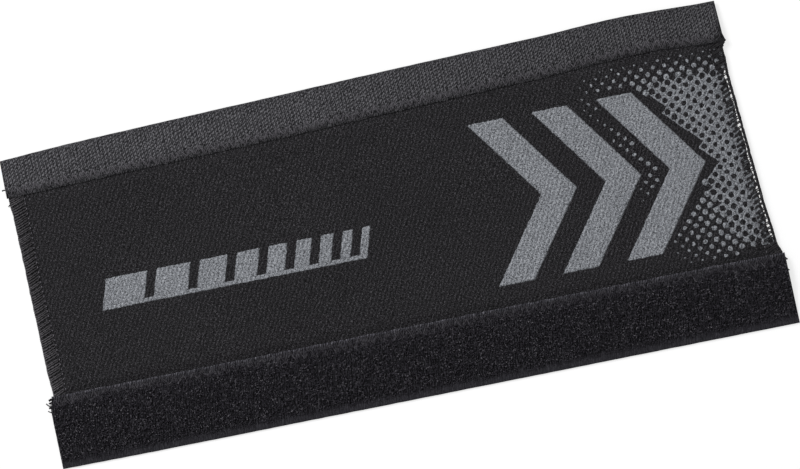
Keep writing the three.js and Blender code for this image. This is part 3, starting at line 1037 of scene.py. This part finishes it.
def make_overlock(name, edge, finish):
    """An overlocked edge: a twisted thread over the face and another under the back, which meet
    in two more along the edge. The legs' inner ends lie further along on the left and less far
    on the right, so that all lean the same way. Each leg has its own tone, and all are paler
    towards the edge, a painted highlight where the threads wrap over the rounded rim, and paler
    towards the loop tape."""
    upper = under_tapes(looper_path(edge, UPPER_LEVELS, FACE_SPACING))
    lower = looper_path(edge, LOWER_LEVELS, BACK_SPACING)
    threads = [
        plied(upper, THREAD_RADIUS, 2, THREAD_LAY, 5, OBLIQUE),
        plied(lower, THREAD_RADIUS, 2, THREAD_LAY, 4, OBLIQUE),
    ]
    run = np.arange(edge.low, edge.high + 0.1, 0.25)
    for number, inset in enumerate(edge.rim_insets):
        wander = inset + 0.08 * cloud(run, run, 1.2, 53 + number)
        height = 1.48 + 0.2 * cloud(run, run, 0.9, 57 + number)
        rim = np.stack([edge.x(run, edge.chain(run) + wander), run, height], axis=-1)
        threads.append(plied(rim, RIM_THREAD_RADIUS, 3, RIM_THREAD_LAY, 5, OBLIQUE))
    points, quads, triangles = joined(threads)
    distance = edge.inward * (points[:, 0] - edge.outline(points[:, 1]))
    leg = points[:, 1] - edge.slant * distance / OVERLOCK_REACH
    # Painted highlight: paler towards the rim, where the threads wrap over the edge; the cloud gives each
    # leg its own tone.
    shade = eased(1.2 - distance / OVERLOCK_REACH) + 0.4 * cloud(leg, 0 * leg, 0.8, 55)
    shade = np.maximum(shade + 0.12 + 0.58 * step(points[:, 1], 4, -22), 0)
    return make_piece(name, points, quads, triangles, finish, "sewing_thread", {"shade": shade})


def zigzag(edge, first, last, near, far, dips, spread, stray, seed):
    """One strand of a zigzag seam: from near to far across the tape and back in every pitch,
    moved along the seam by its own spread at the near points and astray by chance. Its height
    is given by the dips at its near and its far points."""
    draw = np.random.default_rng(seed)
    number = np.arange(int((last - first) / SEAM_PITCH * 2))
    at_far = number % 2 == 1
    x = first + number * SEAM_PITCH / 2 + np.where(at_far, spread * 0.2, spread)
    x = x + stray * draw.uniform(-1, 1, number.size)
    across = np.where(at_far, far, near) + stray * draw.uniform(-1.2, 1.2, number.size)
    return np.stack([x, edge(x) + across, np.where(at_far, dips[1], dips[0])], axis=-1)


HOOK_SEAM_SPREADS = (-0.75, 0.0, 0.7)
LOOP_SEAM_SPREADS = (-0.7, 0.1, 0.8)
STRAND_DIPS = (0.06, -0.2)
STRAND_STRAY = 0.42
STRAND_RADIUS = 0.12
BOBBIN_DIPS = (0.1, 0.1)
BOBBIN_RADIUS = 0.2
BOBBIN_LAY = 1.75


def make_seam(name, edge, first, last, inward, thickness, spreads, finish):
    """A zigzag seam: fine strands fanned out on the tape, whose pressed face they follow, and
    one bobbin thread on the back of the foam. The strands are darker towards the tape's edge,
    painted shade along the sewn edge, and at its right end, and every other one is paler."""
    near = inward * SEAM_MARGIN
    far = inward * (SEAM_MARGIN + SEAM_WIDTH)
    strands = []
    for number, spread in enumerate(spreads):
        bends = zigzag(edge, first, last, near, far, STRAND_DIPS, spread, STRAND_STRAY, 80 + number)
        line = even_path(bends, 0.55, 0.3)
        across = np.abs(line[:, 1] - edge(line[:, 0]))
        pressed = thickness - sewn_press(across)
        line[:, 2] += BAND_TOP + pressed + 0.05 * np.sin(line[:, 0] * 2.1 + number) + 0.06
        strands.append(tubes(line[None], STRAND_RADIUS, 5, OBLIQUE))
    bobbin = zigzag(edge, first, last, near, far, BOBBIN_DIPS, 0.0, 0.0, 90)
    bobbin = even_path(bobbin, 0.45, 0.35)
    bobbin[:, 2] += RELIEF - 0.22
    strands.append(plied(bobbin, BOBBIN_RADIUS, 2, BOBBIN_LAY, 4, OBLIQUE))
    points, quads, triangles = joined(strands)
    # Painted shade: darker towards the tape's sewn edge; also darker at the right end, and every other
    # strand paler.
    shade = eased(np.abs(points[:, 1] - edge(points[:, 0])) / SEAM_WIDTH) * 0.65 + 0.35
    shade = shade * step(points[:, 0], last + 1.5, last - 4)
    counts = [len(strand[0]) for strand in strands]
    paler = np.repeat(np.arange(len(strands)) % 2, counts)
    shade = shade * blend(0.65, 1.35, paler)
    return make_piece(name, points, quads, triangles, finish, "sewing_thread", {"shade": shade})


def tail(corners, radius):
    """A short cut end of thread through a few points."""
    return plied(even_path(np.array(corners, float), 0.12, 0.3), radius, 2, 1.2, 6, OBLIQUE)


def make_tails(finish):
    """Cut thread ends where the seams and overlocked edges stop, at the corners of the tapes."""
    ends = [
        tail([(-130.9, 43.2, 2.6), (-132.0, 43.3, 2.5), (-133.0, 43.4, 2.3), (-133.7, 43.3, 2.2)], 0.28),
        tail([(-131.4, 38.2, 2.2), (-132.1, 37.8, 2.0), (-132.5, 37.3, 1.7)], 0.24),
        tail([(124.7, 49.4, 2.5), (125.3, 47.7, 2.5), (125.7, 46.4, 2.4), (126.0, 45.6, 2.3)], 0.3),
        tail([(124.2, 46.6, 2.5), (125.1, 46.1, 2.5), (125.7, 45.7, 2.4), (126.1, 45.4, 2.3)], 0.42),
        tail([(124.0, 46.0, 2.3), (124.8, 45.7, 2.3), (125.4, 45.3, 2.3), (125.7, 45.05, 2.2)], 0.4),
        tail([(123.6, 46.0, 2.2), (124.5, 45.4, 2.2), (125.1, 44.95, 2.1), (125.5, 44.6, 2.0)], 0.46),
        tail([(123.6, 45.3, 2.1), (124.4, 44.75, 2.1), (124.9, 44.45, 2.0), (125.2, 44.3, 2.0)], 0.36),
        tail([(123.6, 44.7, 2.0), (124.4, 44.1, 2.0), (124.95, 43.6, 1.9)], 0.42),
        tail([(-130.4, -31.9, 2.4), (-131.2, -32.0, 2.4), (-131.9, -32.3, 2.3)], 0.44),
        tail([(-130.9, -33.0, 2.4), (-131.6, -33.3, 2.4), (-132.1, -33.2, 2.3)], 0.4),
        tail([(-131.2, -34.9, 2.5), (-132.0, -34.3, 2.5), (-132.7, -33.6, 2.4),
              (-133.1, -33.1, 2.3)], 0.24),
        tail([(-130.8, -35.3, 2.5), (-131.6, -35.0, 2.5), (-132.4, -34.8, 2.4)], 0.34),
        tail([(-131.2, -36.8, 2.5), (-132.1, -36.4, 2.5), (-132.9, -35.8, 2.4)], 0.22),
        tail([(130.8, -33.4, 2.6), (131.9, -33.7, 2.6), (132.4, -34.3, 2.4)], 0.3),
        tail([(131.0, -37.6, 2.7), (132.0, -37.8, 2.6), (132.4, -38.2, 2.4)], 0.24),
    ]
    return make_piece("thread_tails", *joined(ends), finish, "sewing_thread")


# Print
FILM = 0.08
FILM_ROUGHNESS = 0.14


def film(x, y):
    """A print film as a closed shell that follows the panel's face, its edges slightly rough."""
    rough_x = x + FILM_ROUGHNESS * cloud(x, y, 0.8, 61)
    rough_y = y + FILM_ROUGHNESS * cloud(x, y, 0.8, 62)
    top = panel_top(x, y) + FILM
    points = shell_points(rough_x, rough_y, top, top - FILM * 2)
    return points, shell_grid(*x.shape), no_faces(3)


def make_bars(finish):
    """Leaning bars on one underline, each narrower than the one before."""
    base = LOOP_SEAM_Y + BARS_ABOVE_LOOP_TAPE
    start = left_outline(base) + BARS_START
    widths = FIRST_BAR_WIDTH * BAR_TAPER ** np.arange(BARS_COUNT)
    starts = np.concatenate([[0], np.cumsum(widths + BAR_GAP)])
    blocks = [(place, width, BARS_UNDERLINE - 0.3, BARS_HEIGHT) for place, width in zip(starts, widths)]
    blocks.append((0.0, starts[-1] - BAR_GAP, 0.0, BARS_UNDERLINE))
    films = []
    for place, width, low, high in blocks:
        across = np.linspace(0, width, int(width / 0.4) + 2)
        up = np.linspace(low, high, int((high - low) / 0.4) + 2)
        x, y = np.meshgrid(start + place + across, up, indexing="ij")
        films.append(film(x + PRINT_SLANT * y, base + y))
    return make_piece("bars_ink", *joined(films), finish, "print_ink")


CHEVRON_MIDDLE = LOOP_SEAM_Y + CHEVRONS_ABOVE_LOOP_TAPE + CHEVRON_HEIGHT / 2


def chevron_tip(index):
    """The x of a chevron's tip."""
    return right_outline(CHEVRON_MIDDLE) - CHEVRON_TIP_INSET - (CHEVRON_COUNT - 1 - index) * CHEVRON_PITCH


def make_chevron(index, finish):
    """An arrowhead stroke: its front runs back from the tip with the distance from the middle."""
    up = np.linspace(-1, 1, 145)
    across = np.linspace(-1, 0, 21)
    across, up = np.meshgrid(across, up, indexing="ij")
    x = chevron_tip(index) - CHEVRON_DEPTH * np.abs(up) + CHEVRON_STROKE * across
    y = CHEVRON_MIDDLE + up * CHEVRON_HEIGHT / 2
    return make_piece(f"chevron_ink_{index + 1}", *film(x, y), finish, "print_ink")


DOT_PITCH = 2.9
DOT_LATTICE_X = 95
DOT_SIDES = 16
DOT_ROUGHNESS = 0.24


def dot_tone(x, y):
    """How much of the face the dots cover: more towards the right edge and towards the top, most
    of it under the right edge's threads, and fading out just before the tapes."""
    rise = np.clip((x + 0.4 * y - 84) / 48, 0, 0.88 - 0.14 * step(y, -8, 8))
    rise = blend(rise, 0.87, step(right_outline(y) - x, 5.5, 3.5))
    faded = eased((hook_seam_y(x) - 1 - y) / 15) ** 0.8 * eased((y - LOOP_SEAM_Y + 1) / 12) ** 0.6
    return rise * faded


def clear_of_chevrons(x, y, reach):
    """Whether a dot of that reach keeps a plain margin round every chevron."""
    clear = np.ones(x.shape, bool)
    above = np.abs(y - CHEVRON_MIDDLE)
    lean = CHEVRON_DEPTH * above / (CHEVRON_HEIGHT / 2)
    margin = (reach + 1.3) * math.hypot(CHEVRON_DEPTH, CHEVRON_HEIGHT / 2) / (CHEVRON_HEIGHT / 2)
    for index in range(CHEVRON_COUNT):
        front = x + lean - chevron_tip(index)
        inside = (front > -CHEVRON_STROKE - margin) & (front < margin)
        clear &= ~(inside & (above < CHEVRON_HEIGHT / 2 + reach + 1.3))
    return clear


def rings(x, y, inner, outer):
    """Flat films between a round hole and an outer line given by its distance from the centre
    all round: each is a band of four lines round the centre, top and bottom, closed at both
    rims."""
    sides = outer.shape[-1]
    turn = turns(sides)
    hole = np.broadcast_to(inner[:, None], outer.shape)
    reach = np.stack([hole, outer, outer, hole], axis=1)
    lines_x = reach * np.cos(turn) + x[:, None, None]
    lines_y = reach * np.sin(turn) + y[:, None, None]
    lift = np.array([FILM, FILM, -FILM, -FILM])[None, :, None]
    lines_x = np.minimum(lines_x, right_outline(lines_y) - right_foam_inset(lines_y) - 0.3)
    z = panel_top(lines_x, lines_y) + lift
    rough_x = lines_x + DOT_ROUGHNESS * cloud(lines_x, lines_y, 0.5, 63)
    rough_y = lines_y + DOT_ROUGHNESS * cloud(lines_x, lines_y, 0.5, 64)
    points = np.stack([rough_x, rough_y, z], axis=-1).reshape(-1, 3)
    number = np.arange(x.size * 4 * sides).reshape(x.size, 4, sides)
    onward = np.roll(number, -1, axis=2)
    below = np.roll(number, -1, axis=1)
    both = np.roll(below, -1, axis=2)
    quads = np.stack([number, below, both, onward], axis=-1).reshape(-1, 4)
    return points, quads, no_faces(3)


def make_dots(finish):
    """A dot screen that grows to the right: round dots on a lattice turned 45 degrees, and past
    half cover square cells with round holes between the dots."""
    number = np.arange(-70, 71)
    first, second = np.meshgrid(number, number, indexing="ij")
    half = DOT_PITCH / math.sqrt(2)
    turn = turns(DOT_SIDES)
    square = half / (np.abs(np.cos(turn)) + np.abs(np.sin(turn)))
    films = []
    for offset in (0, 1):
        x = DOT_LATTICE_X + (first + second) * half + offset * half
        y = (first - second) * half
        tone = dot_tone(x, y)
        share = tone if offset == 0 else 1 - tone
        radius = DOT_PITCH * np.sqrt(share / math.pi)
        reach = radius if offset == 0 else np.full(x.shape, half)
        chosen = (tone < 0.52) if offset == 0 else (tone >= 0.5)
        chosen &= clear_of_chevrons(x, y, reach) & (tone > 0.015)
        chosen &= (y < hook_seam_y(x) - 1.0 - reach * 0.5) & (y > LOOP_SEAM_Y + 2.5 + reach)
        chosen &= x < right_outline(y) - right_foam_inset(y) - 0.4
        radius = radius[chosen]
        outer = radius[:, None] + 0 * turn if offset == 0 else square + 0 * radius[:, None]
        inner = radius * 0.02 if offset == 0 else radius
        films.append(rings(x[chosen], y[chosen], inner, outer))
    return make_piece("dot_ink", *joined(films), finish, "print_ink")


# The photograph's view
def make_camera():
    """A long lens straight above, turned about the upright axis as the photograph is."""
    data = bpy.data.cameras.new("camera")
    data.sensor_width = SENSOR_WIDTH
    data.lens = SENSOR_WIDTH * (CAMERA_HEIGHT - PANEL_THICKNESS) / PICTURE_WIDTH
    camera = bpy.data.objects.new("camera", data)
    camera.location = (PICTURE_CENTRE[0] * MM, PICTURE_CENTRE[1] * MM, CAMERA_HEIGHT * MM)
    camera.rotation_euler = (0, 0, PICTURE_TURN)
    bpy.context.scene.collection.objects.link(camera)
    bpy.context.scene.camera = camera


def make_lamp(name, place, size, watts):
    """A square soft lamp that faces the wrap."""
    data = bpy.data.lights.new(name, "AREA")
    data.size = size
    data.energy = watts
    lamp = bpy.data.objects.new(name, data)
    lamp.location = place
    away = math.hypot(place[0], place[1])
    lamp.rotation_euler = (math.atan2(away, place[2]), 0, math.atan2(place[0], -place[1]))
    bpy.context.scene.collection.objects.link(lamp)


def make_studio():
    """A plain white floor that keeps a soft shadow, an even world and one large key lamp."""
    world = bpy.data.worlds.new("studio")
    bpy.context.scene.world = world
    world.use_nodes = True
    world.node_tree.nodes["Background"].inputs["Color"].default_value = (1, 1, 1, 1)
    world.node_tree.nodes["Background"].inputs["Strength"].default_value = WORLD_STRENGTH
    make_lamp("key", KEY_LAMP_PLACE, KEY_LAMP_SIZE, KEY_LAMP_WATTS)
    side = FLOOR_HALF_SIDE
    corners = [(-side, -side, 0), (side, -side, 0), (side, side, 0), (-side, side, 0)]
    mesh = bpy.data.meshes.new("floor")
    mesh.from_pydata(corners, [], [(0, 1, 2, 3)])
    finish = Finish("floor", 0.9, 0.1)
    finish.shader.inputs["Base Color"].default_value = (FLOOR_GREY, FLOOR_GREY, FLOOR_GREY, 1)
    rays = finish.node("ShaderNodeLightPath", {}, {})
    seen = rays.most(rays.part(3)).most(rays.part(6))
    glow = finish.node("ShaderNodeEmission", {}, {"Color": (1, 1, 1, 1), "Strength": FLOOR_GLOW})
    shader = Number(finish, finish.shader.outputs[0])
    both = finish.node("ShaderNodeMixShader", {}, {0: seen * FLOOR_GLOW_SHARE, 1: shader, 2: glow})
    output = finish.tree.nodes["Material Output"]
    finish.tree.links.new(both.socket, output.inputs["Surface"])
    mesh.materials.append(finish.material)
    floor = bpy.data.objects.new("floor", mesh)
    bpy.context.scene.collection.objects.link(floor)
    bpy.context.scene.view_settings.view_transform = "Standard"


make_camera()
panel = make_panel()
hook_tape = make_hook_tape()
loop_tape = make_loop_tape()
# The two edges' overlock threads are one black thread in two greys: the left one is made paler, a painted
# highlight on its strands.
left_thread = thread_finish("overlock_thread", 0.0465, 0.048, 0.55, 0.8, 0.75)
right_thread = thread_finish("edge_thread", 0.0295, 0.0308, 0.55, 0.8, 0.25)
# Painted sheen: the loop seam's black thread is given a paler grey to stand for its shine.
black_thread = thread_finish("loop_seam_thread", 0.068, 0.073, 0.55, 0.35, 0.65)
tail_thread = thread_finish("cut_ends", 0.02, 0.021, 0.7)
# Painted sheen: the hook seam's black thread is given a pale grey to stand for its shine.
seam_thread = thread_finish("seam_thread", 0.098, 0.104, 0.55, 0.35, 0.65)
# Painted highlight: the needle thread is made pale to stand for the glints along the needle line.
fine_thread = thread_finish("needle_thread", 0.14, 0.149, 0.5)
pile_material = pile_finish()
pile = [make_pile(f"loop_pile_{number + 1}", 71 + 2 * number, pile_material) for number in range(2)]
hooks = make_hooks()
left_edge = make_overlock("overlock_left", LEFT, left_thread)
right_edge = make_overlock("overlock_right", RIGHT, right_thread)
needle_stitches("needle_thread_left", LEFT, fine_thread)
needle_stitches("needle_thread_right", RIGHT, fine_thread)
hook_seam = make_seam(
    "hook_seam", hook_seam_y, TAPE_LEFT + 1.5, HOOK_TAPE_RIGHT - 1.0, 1, HOOK_TAPE_THICKNESS,
    HOOK_SEAM_SPREADS, seam_thread,
)
loop_seam = make_seam(
    "loop_seam", loop_seam_y, TAPE_LEFT + 2.6, LOOP_TAPE_RIGHT - 1.0, -1, LOOP_TAPE_THICKNESS,
    LOOP_SEAM_SPREADS, black_thread,
)
make_tails(tail_thread)
ink = ink_finish()
bars = make_bars(ink)
chevrons = [make_chevron(index, ink) for index in range(CHEVRON_COUNT)]
make_dots(ink)
make_studio()

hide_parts("neoprene_panel")
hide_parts("hook_tape")
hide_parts("loop_tape")
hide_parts("overlock_thread_left")
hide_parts("overlock_thread_right")
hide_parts("hook_seam_thread")
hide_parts("loop_seam_thread")
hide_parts("printed_bars")
for index, chevron in enumerate(chevrons):
    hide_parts(f"printed_chevron_{index + 1}")
